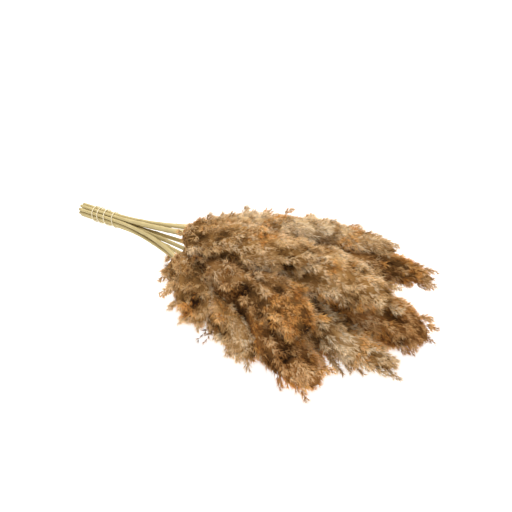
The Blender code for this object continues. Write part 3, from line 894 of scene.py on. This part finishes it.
class Hair:
    """The spikelets of one plume: where each stands, how it points, its size, tone and kind."""

    def __init__(self, number, path, widths, walls, kinds):
        self.number = number
        self.reed = REEDS[number - 1]
        self.path = path
        self.widths = widths
        self.walls = walls
        self.kinds = kinds
        self.draw = random.Random(FLUFF_SEED + number)
        self.wanted = []

    def want(self, point, direction, scale, tone):
        """Note a spikelet down, in its patch's colours and clear of the floor."""
        draw = self.draw
        paler, warmer = patched(point)
        level = uneven(WARMTH, point, self.number) + WARM_FROM + draw.uniform(-WARM_EDGE, WARM_EDGE)
        jitter = np.array([draw.uniform(-1.0, 1.0) for _ in range(3)])
        if point[2] < FLOOR_Z + NEAR_FLOOR:
            point = lifted(point, ON_FLOOR)
            direction = (direction[0], direction[1], max(direction[2], FLOOR_LIFT))
        direction = unit(direction + DIRECTION_JITTER * jitter)
        kind = self.kinds[draw.randrange(len(self.kinds))]
        roll = draw.uniform(0.0, math.tau)
        is_warm = level < self.reed.warm + warmer
        self.wanted.append((point, direction, scale, tone + paler, is_warm, kind, roll))

    def cover_body(self):
        """Spikelets all over the woolly body, combed along the plume."""
        draw, reed, path, walls = self.draw, self.reed, self.path, self.walls
        base = path.length - reed.length
        every_ring = np.arange(BODY_RINGS)
        stations = np.linspace(base, path.length, BODY_RINGS)
        slopes = np.gradient(self.widths, stations)
        areas = math.tau * walls.mean(axis=1) * np.sqrt(1.0 + slopes ** 2) * reed.length / BODY_RINGS
        count = round(sum(areas) / SURFACE_AREA_EACH)
        filled = np.cumsum(areas) / sum(areas)
        for step in range(count):
            along = (step + draw.random()) / count
            ring = float(np.interp(along, filled, every_ring))
            station = base + reed.length * ring / (BODY_RINGS - 1)
            heading = path.heading(station)
            angle = step * GOLDEN_ANGLE + draw.uniform(-SURFACE_TURN, SURFACE_TURN)
            outward = sideways(heading, angle)
            width = reach_at(walls, ring, angle)
            reached = width / np.interp(ring, every_ring, self.widths)
            if reached < WALL_SHARE and draw.random() > WALL_KEPT:
                continue
            broad, relief = clumps(station - base, outward * width, self.number)
            depth = sagged(outward) + BODY_RELIEF * broad - HAIR_ROOT_DEPTH
            point = path.at(station) + outward * width * depth
            swirl = uneven(SWIRL, point, self.number)
            rise = (SURFACE_RISE * draw.uniform(*RISES) + RELIEF_RISE * relief) * sagged(outward) ** 2
            rise = max(rise, LEAST_RISE)
            slope = float(np.clip(np.interp(station, stations, slopes), *SLOPE_LIMITS))
            direction = heading * (1.0 - SLOPE_LEAN * slope) + (rise + SLOPE_RISE * slope) * outward
            direction = direction + swirl * np.cross(heading, outward)
            # Painted light and shade: hair on raised clumps paler, hair in the hollows darker
            tone = reed.tone + RELIEF_PAINTED_LIGHT * relief + uneven(BODY_DRIFT, point, self.number)
            # Painted shade in the crevice between this plume and its neighbour
            tone -= CREVICE_PAINTED_SHADE * (1.0 - min(1.0, reached))
            scale = draw.uniform(*SPIKELET_SCALES) * sagged(outward)
            self.want(point, unit(direction), scale, tone + draw.uniform(-TONE_SPREAD, TONE_SPREAD))

    def cover_branches(self, branches):
        """Spikelets round each branch, which close towards its tip."""
        draw = self.draw
        for spine, spikelets in branches:
            branch_tone = draw.uniform(-BRANCH_TONE, BRANCH_TONE)
            for step in range(spikelets):
                spot = step + draw.uniform(*STEP_SPOTS)
                along = BRANCH_FROM + (BRANCH_TO - BRANCH_FROM) * spot / spikelets
                point, heading = bent(spine, along)
                angle = step * GOLDEN_ANGLE + draw.uniform(-BRANCH_TURN, BRANCH_TURN)
                outward = sideways(heading, angle)
                spread = SPIKELET_SPREAD * draw.uniform(*SPREADS)
                spread *= SPREAD_AT_ROOT - SPREAD_LOSS * along
                direction = unit(heading + outward * spread + np.array([0.0, 0.0, -SPIKELET_SAG]))
                tone = self.reed.tone + branch_tone + TIPWARD_TONE * (along - EVEN_TONE_AT)
                tone += uneven(BRANCH_DRIFT, point, self.number)
                scale = draw.uniform(*SPIKELET_SCALES) * (SCALE_AT_ROOT - SCALE_LOSS * along)
                scale *= FULLNESS.get(self.number, 1.0)
                self.want(point + outward * OFF_BRANCH, direction, scale,
                          tone + draw.uniform(-BRANCH_TONE_SPREAD, BRANCH_TONE_SPREAD))

    def cover_sprays(self):
        """Spikelets round the plume's loose sprays. Gives the line of each spray's stalk."""
        stalks = []
        for spray in [spray for spray in SPRAYS if spray.plume == self.number]:
            root = CUT_END_FOOT + np.array(spray.root)
            tip = CUT_END_FOOT + np.array(spray.tip)
            heading = unit(tip - root)
            for step in range(spray.spikelets):
                along = (step + self.draw.uniform(*STEP_SPOTS)) / spray.spikelets
                spread = SPRAY_SPREAD * (1.0 - SPRAY_CLOSES * along)
                direction = unit(heading + spread * sideways(heading, step * GOLDEN_ANGLE))
                tone = self.reed.tone + spray.paler
                tone += self.draw.uniform(-SPRAY_TONE_SPREAD, SPRAY_TONE_SPREAD)
                self.want(root + (tip - root) * along, direction,
                          SPRAY_SCALE * (1.0 - SPRAY_SCALE_LOSS * along), tone)
            stalk_end = root + SPRAY_STALK * (tip - root)
            stalks.append([root, 0.5 * (root + stalk_end), stalk_end])
        return stalks

    def mesh(self):
        """All the spikelets as one mesh."""
        shape = bmesh.new()
        shape.loops.layers.uv.new(MAP_NAME)
        tones = []
        for point, direction, scale, tone, is_warm, kind, roll in self.wanted:
            copy = kind.copy()
            copy.transform(Matrix.Translation(Vector(point)) @ turned_to(direction, roll)
                           @ Matrix.Diagonal((scale, scale, scale, 1.0)))
            take_in(shape, copy)
            tones.append((min(TONE_LIMITS[1], max(TONE_LIMITS[0], tone)), is_warm))
        mesh = as_mesh(shape, f"plume_fluff_{self.number:02d}")
        tone_map(mesh, tones)
        return mesh


def put_in_scene(name, data):
    made = bpy.data.objects.new(name, data)
    bpy.context.scene.collection.objects.link(made)
    return made


def new_object(mesh, material):
    """A finished mesh as an object of the scene, with its material."""
    mesh.materials.append(material)
    return put_in_scene(mesh.name, mesh)


def make_plume(number, paths, field, bodies, kinds, bristle, material):
    """One plume's fluff as one mesh: its body, and spikelets over it and along its branches."""
    index = number - 1
    reed = REEDS[index]
    path = paths[index]
    centres, headings, widths = bodies[index]
    walls = body_walls(index, bodies)
    hair = Hair(number, path, widths, walls, kinds)
    hair.cover_body()
    branches = plume_branches(index, paths, field)
    hair.cover_branches(branches)
    stalks = [spine for spine, _ in branches] + hair.cover_sprays()
    mesh = hair.mesh()

    whole = bmesh.new()
    whole.from_mesh(mesh)
    add_body(whole, number, reed, centres, headings, walls)
    for spine in stalks:
        add_stalk(whole, spine, reed)
    add_awns(whole, path, reed, bristle, hair.draw)
    for vertex in whole.verts:
        if vertex.co.z < FLOOR_Z + LEAST_HEIGHT:
            vertex.co.z = FLOOR_Z + LEAST_HEIGHT
        elif vertex.co.z > FLOOR_Z + BENDS_ABOVE:
            above = vertex.co.z - FLOOR_Z - BENDS_ABOVE
            vertex.co.z = FLOOR_Z + BENDS_ABOVE + BEND_KEPT * above
    whole.to_mesh(mesh)
    whole.free()
    fluff = new_object(mesh, material)
    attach(fluff, "root")
    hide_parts(f"plume_{number:02d}")


# Stems and thread

def curve_tube(name, points, radii, roundness):
    """A round tube along points, capped at both ends."""
    curve = bpy.data.curves.new(name, "CURVE")
    curve.dimensions = "3D"
    curve.bevel_depth = 1.0
    curve.bevel_resolution = roundness
    curve.use_fill_caps = True
    spline = curve.splines.new("POLY")
    spline.points.add(len(points) - 1)
    for point, place, radius in zip(spline.points, points, radii):
        point.co = (*place, 1.0)
        point.radius = radius
    holder = put_in_scene(name, curve)
    bpy.context.view_layer.update()
    smooth = holder.evaluated_get(bpy.context.evaluated_depsgraph_get())
    mesh = bpy.data.meshes.new_from_object(smooth)
    bpy.data.objects.remove(holder)
    mesh.name = name
    return mesh


def stem_radius_at(index, path, field, distance):
    """Beyond the tie leaf sheaths wrap a stem, as thick as its neighbours leave room for."""
    beyond = min(1.0, max(0.0, (distance - TIE_LENGTH) / SWELLS_OVER))
    room = 0.5 * field.nearest_stem(path.at(distance), leave_out=index) - 0.5 * STEM_GAP
    return min(STEM_RADIUS * (1.0 + (STEM_SWELL - 1.0) * beyond), room)


def make_stem(number, path, field, material):
    """A round reed with swollen joints, a straight cut and a hollow end."""
    reed = REEDS[number - 1]
    end = path.length - reed.length - SEAT_GAP
    draw = random.Random(STEM_SEED + number)
    joints = [TIE_LENGTH + (end - TIE_LENGTH) * (share + draw.uniform(-JOINT_SHIFT, JOINT_SHIFT))
              for share in JOINTS]
    stations = list(np.linspace(0.0, end, STEM_STATIONS))
    for joint in joints:
        stations += [joint + step * JOINT_HALF for step in JOINT_STEPS]
    stations.sort()
    radii = []
    for station in stations:
        radius = stem_radius_at(number - 1, path, field, station)
        for joint in joints:
            if abs(station - joint) < JOINT_REACH * JOINT_HALF:
                in_groove = abs(station - joint) <= GROOVE_REACH * JOINT_HALF
                radius *= GROOVE_SWELL if in_groove else JOINT_SWELL
        radii.append(radius)
    mesh = curve_tube(f"reed_stem_{number:02d}", path.at(np.array(stations)), radii, STEM_ROUNDNESS)
    shape = bmesh.new()
    shape.from_mesh(mesh)
    bmesh.ops.remove_doubles(shape, verts=shape.verts, dist=STEM_WELD)
    bmesh.ops.recalc_face_normals(shape, faces=shape.faces)
    start = Vector(path.at(0.0))
    end_faces = [face for face in shape.faces
                 if all((vertex.co - start).length < END_REACH * STEM_RADIUS for vertex in face.verts)]
    cap = bmesh.ops.dissolve_faces(shape, faces=end_faces)["region"][0]
    bmesh.ops.inset_region(shape, faces=[cap], thickness=(1.0 - HOLLOW_SHARE) * STEM_RADIUS)
    inner = bmesh.ops.extrude_discrete_faces(shape, faces=[cap])["faces"][0]
    bmesh.ops.translate(shape, verts=inner.verts, vec=Vector(BUNDLE_AXIS) * HOLLOW_DEPTH)
    for face in shape.faces:
        face.smooth = len(face.verts) == 4
    shape.to_mesh(mesh)
    shape.free()
    stem = new_object(mesh, material)
    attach(stem, "root")
    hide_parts(f"stem_{number:02d}")


def make_thread(material):
    """Two twisted plies wound round the stems, the turns opening towards the plumes."""
    radius = BUNDLE_RADIUS + SEAT_GAP + THREAD_RADIUS
    growth = (THREAD_LAST_PITCH - THREAD_FIRST_PITCH) / THREAD_TURNS
    count = int(THREAD_TURNS * math.tau * radius / PLY_LAY * PLY_POINTS)
    joined = bmesh.new()
    for ply in range(PLIES):
        points = []
        for step in range(count):
            turns = THREAD_TURNS * step / (count - 1)
            along = THREAD_START + turns * (THREAD_FIRST_PITCH + 0.5 * growth * turns)
            twist = math.tau * step / PLY_POINTS + math.tau * ply / PLIES
            out = around_axis(math.tau * turns, 1.0)
            offset = (out * math.cos(twist) + BUNDLE_AXIS * math.sin(twist)) * PLY_OFFSET
            points.append(CUT_END + BUNDLE_AXIS * along + out * radius + offset)
        take_in(joined, curve_tube(f"ply_{ply}", points, [PLY_RADIUS] * count, PLY_ROUNDNESS))
    bmesh.ops.remove_doubles(joined, verts=joined.verts, dist=PLY_WELD)
    bmesh.ops.recalc_face_normals(joined, faces=joined.faces)
    for face in joined.faces:
        face.smooth = len(face.verts) == 4
    thread = new_object(as_mesh(joined, "wound_thread"), material)
    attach(thread, "root")
    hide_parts("tie_thread")


# Materials

def new_material(name):
    material = bpy.data.materials.new(name)
    material.use_nodes = True
    tree = material.node_tree
    return material, tree.nodes, tree.links, tree.nodes["Principled BSDF"]


def set_values(node, values):
    for socket, value in values.items():
        node.inputs[socket].default_value = value


def add_node(nodes, kind, values=None, operation=None):
    node = nodes.new(kind)
    if operation:
        node.operation = operation
    set_values(node, values or {})
    return node


def add_ramp(nodes, links, colours, tone):
    """Colours spread evenly over a tone from 0 to 1."""
    node = nodes.new("ShaderNodeValToRGB")
    elements = node.color_ramp.elements
    while len(elements) < len(colours):
        elements.new(0.5)
    for element, colour, place in zip(elements, colours, np.linspace(0.0, 1.0, len(colours))):
        element.position = float(place)
        element.color = (*colour, 1.0)
    links.new(tone, node.inputs["Fac"])
    return node.outputs["Color"]


def add_mix(nodes, links, first, second, blend, factor=None):
    """Two colours mixed by a mask, or multiplied in full where there is none."""
    node = nodes.new("ShaderNodeMix")
    node.data_type = "RGBA"
    node.blend_type = blend
    if factor is None:
        node.inputs["Factor"].default_value = 1.0
    else:
        links.new(factor, node.inputs["Factor"])
    links.new(first, node.inputs[MIX_FIRST])
    links.new(second, node.inputs[MIX_SECOND])
    return node.outputs[MIX_RESULT]


def add_range(nodes, links, value, values):
    """A value moved into another range."""
    node = add_node(nodes, "ShaderNodeMapRange", values)
    links.new(value, node.inputs["Value"])
    return node.outputs["Result"]


def add_noise(nodes, links, place, scale, detail):
    node = add_node(nodes, "ShaderNodeTexNoise", {"Scale": scale, "Detail": detail})
    links.new(place, node.inputs["Vector"])
    return node.outputs["Fac"]


def add_bump(nodes, links, height, strength, depth, shader):
    node = add_node(nodes, "ShaderNodeBump", {"Strength": strength, "Distance": depth})
    links.new(height, node.inputs["Height"])
    links.new(node.outputs["Normal"], shader.inputs["Normal"])


def hair_shades():
    """Dry plant hair: its own or the warm colour, with painted shade at each hair's root and a paler
    tip, partly bleached hair and partly painted highlight.
    """
    group = bpy.data.node_groups.new("hair_shades", "ShaderNodeTree")
    sockets = group.interface
    sockets.new_socket("Own Color", in_out="INPUT", socket_type="NodeSocketColor")
    sockets.new_socket("Tone", in_out="INPUT", socket_type="NodeSocketFloat")
    sockets.new_socket("Height", in_out="INPUT", socket_type="NodeSocketFloat")
    sockets.new_socket("Color", in_out="OUTPUT", socket_type="NodeSocketColor")
    sockets.new_socket("Roughness", in_out="OUTPUT", socket_type="NodeSocketFloat")
    nodes, links = group.nodes, group.links
    given = add_node(nodes, "NodeGroupInput")
    result = add_node(nodes, "NodeGroupOutput")
    warm = add_ramp(nodes, links, WARM_COLOURS, given.outputs["Tone"])
    is_warm = add_node(nodes, "ShaderNodeMath", {1: 0.5}, "GREATER_THAN")
    links.new(given.outputs["Height"], is_warm.inputs[0])
    hue = add_mix(nodes, links, given.outputs["Own Color"], warm, "MIX", is_warm.outputs[0])
    doubled = add_node(nodes, "ShaderNodeMath", {1: 2.0}, "MULTIPLY")
    links.new(given.outputs["Height"], doubled.inputs[0])
    along = add_node(nodes, "ShaderNodeMath", operation="FRACT")
    links.new(doubled.outputs[0], along.inputs[0])
    # Painted shade at the root, and a paler tip that is partly bleaching and partly painted highlight
    shade = add_range(nodes, links, along.outputs[0],
                      {"From Max": SHADE_FULL_AT, "To Min": ROOT_PAINTED_SHADE, "To Max": TIP_PALENESS_AND_HIGHLIGHT})
    links.new(add_mix(nodes, links, hue, shade, "MULTIPLY"), result.inputs["Color"])
    rough = add_range(nodes, links, along.outputs[0],
                      {"To Min": ROOT_ROUGHNESS, "To Max": TIP_ROUGHNESS})
    links.new(rough, result.inputs["Roughness"])
    return group


def hair_material(name, colours, shades):
    """A plume's hair: its tone runs across the map and the distance along a hair upwards."""
    material, nodes, links, shader = new_material(name)
    uv = add_node(nodes, "ShaderNodeUVMap")
    uv.uv_map = MAP_NAME
    parts = add_node(nodes, "ShaderNodeSeparateXYZ")
    links.new(uv.outputs["UV"], parts.inputs[0])
    group = add_node(nodes, "ShaderNodeGroup")
    group.node_tree = shades
    links.new(add_ramp(nodes, links, colours, parts.outputs["X"]), group.inputs["Own Color"])
    links.new(parts.outputs["X"], group.inputs["Tone"])
    links.new(parts.outputs["Y"], group.inputs["Height"])
    links.new(group.outputs["Color"], shader.inputs["Base Color"])
    links.new(group.outputs["Roughness"], shader.inputs["Roughness"])
    set_values(shader, {"Specular IOR Level": HAIR_SHINE})
    return material


def straw_material():
    """Dry reed: straw yellow with a green cast, long fibres and soft blotches."""
    material, nodes, links, shader = new_material("straw_stem")
    uv = add_node(nodes, "ShaderNodeUVMap")
    uv.uv_map = "UVMap"
    stretched = add_node(nodes, "ShaderNodeMapping", {"Scale": FIBRE_STRETCH})
    links.new(uv.outputs["UV"], stretched.inputs["Vector"])
    fibres = add_noise(nodes, links, stretched.outputs["Vector"], 1.0, FIBRE_DETAIL)
    place = add_node(nodes, "ShaderNodeTexCoord")
    blotches = add_noise(nodes, links, place.outputs["Object"], BLOTCH_SCALE, BLOTCH_DETAIL)
    mixed = add_node(nodes, "ShaderNodeMath", {1: FIBRE_TONE}, "MULTIPLY_ADD")
    links.new(fibres, mixed.inputs[0])
    links.new(blotches, mixed.inputs[2])
    tone = add_node(nodes, "ShaderNodeMath", {1: STRAW_TONE_DROP}, "SUBTRACT")
    links.new(mixed.outputs[0], tone.inputs[0])
    links.new(add_ramp(nodes, links, STRAW_COLOURS, tone.outputs[0]), shader.inputs["Base Color"])
    add_bump(nodes, links, fibres, STRAW_BUMP, STRAW_BUMP_DEPTH, shader)
    low, high = STRAW_ROUGHNESS
    rough = add_range(nodes, links, blotches, {"To Min": low, "To Max": high})
    links.new(rough, shader.inputs["Roughness"])
    return material


def thread_material():
    """Matt cream thread with fine fibres."""
    material, nodes, links, shader = new_material("cream_thread_fibre")
    place = add_node(nodes, "ShaderNodeTexCoord")
    fibres = add_noise(nodes, links, place.outputs["Object"], THREAD_SCALE, THREAD_DETAIL)
    links.new(add_ramp(nodes, links, THREAD_COLOURS, fibres), shader.inputs["Base Color"])
    add_bump(nodes, links, fibres, THREAD_BUMP, THREAD_BUMP_DEPTH, shader)
    set_values(shader, {"Roughness": THREAD_ROUGHNESS})
    return material


# Stage

def place_towards(made, place, direction):
    """Put a camera or a light at a place, looking in a direction."""
    made.location = place
    made.rotation_mode = "QUATERNION"
    made.rotation_quaternion = direction.to_track_quat("-Z", "Y")


def make_camera():
    data = bpy.data.cameras.new("camera")
    data.lens = CAMERA_LENS
    data.sensor_width = CAMERA_SENSOR
    camera = put_in_scene("camera", data)
    back = Vector((math.sin(CAMERA_AZIMUTH) * math.cos(CAMERA_ELEVATION),
                   -math.cos(CAMERA_AZIMUTH) * math.cos(CAMERA_ELEVATION),
                   math.sin(CAMERA_ELEVATION)))
    looked_at = Vector(CUT_END_FOOT + np.array(LOOKED_AT))
    place_towards(camera, looked_at + back * CAMERA_DISTANCE, -back)
    bpy.context.scene.camera = camera


def make_floor():
    shape = bmesh.new()
    bmesh.ops.create_grid(shape, x_segments=1, y_segments=1, size=FLOOR_SIZE)
    bmesh.ops.translate(shape, verts=shape.verts, vec=(0.0, 0.0, FLOOR_Z - FLOOR_DROP))
    material, _, _, shader = new_material("white_floor")
    set_values(shader, {"Base Color": FLOOR_COLOUR, "Roughness": 1.0, "Specular IOR Level": 0.0,
                        "Emission Color": WHITE, "Emission Strength": FLOOR_GLOW})
    floor = new_object(as_mesh(shape, "floor"), material)


def make_lights():
    world = bpy.data.worlds.new("studio")
    world.use_nodes = True
    set_values(world.node_tree.nodes["Background"], {"Color": WHITE, "Strength": SKY_STRENGTH})
    bpy.context.scene.world = world
    for light in LIGHTS:
        data = bpy.data.lights.new(light.name, "AREA")
        data.shape = "SQUARE"
        data.size = light.size
        data.energy = light.power
        data.color = light.colour
        place_towards(put_in_scene(light.name, data), light.place,
                      Vector(LIT_PLACE) - Vector(light.place))
    bpy.context.scene.view_settings.view_transform = "Standard"
    bpy.context.scene.view_settings.look = "None"


def main():
    paths = [Path(reed_path(reed)) for reed in REEDS]
    field = Field(paths)
    kinds = [spikelet(number) for number in range(SPIKELET_KINDS)]
    bristle = awn()
    bodies = [body_rings(index, path) for index, path in enumerate(paths)]
    shades = hair_shades()
    hair = {name: hair_material(f"plume_{name}_hair", colours, shades)
            for name, colours in HAIR_COLOURS.items()}
    straw = straw_material()
    for number, reed in enumerate(REEDS, 1):
        make_plume(number, paths, field, bodies, kinds, bristle, hair[reed.colour])
        make_stem(number, paths[number - 1], field, straw)
    make_thread(thread_material())
    for kind in kinds + [bristle]:
        bpy.data.meshes.remove(kind)
    make_camera()
    make_floor()
    make_lights()


main()
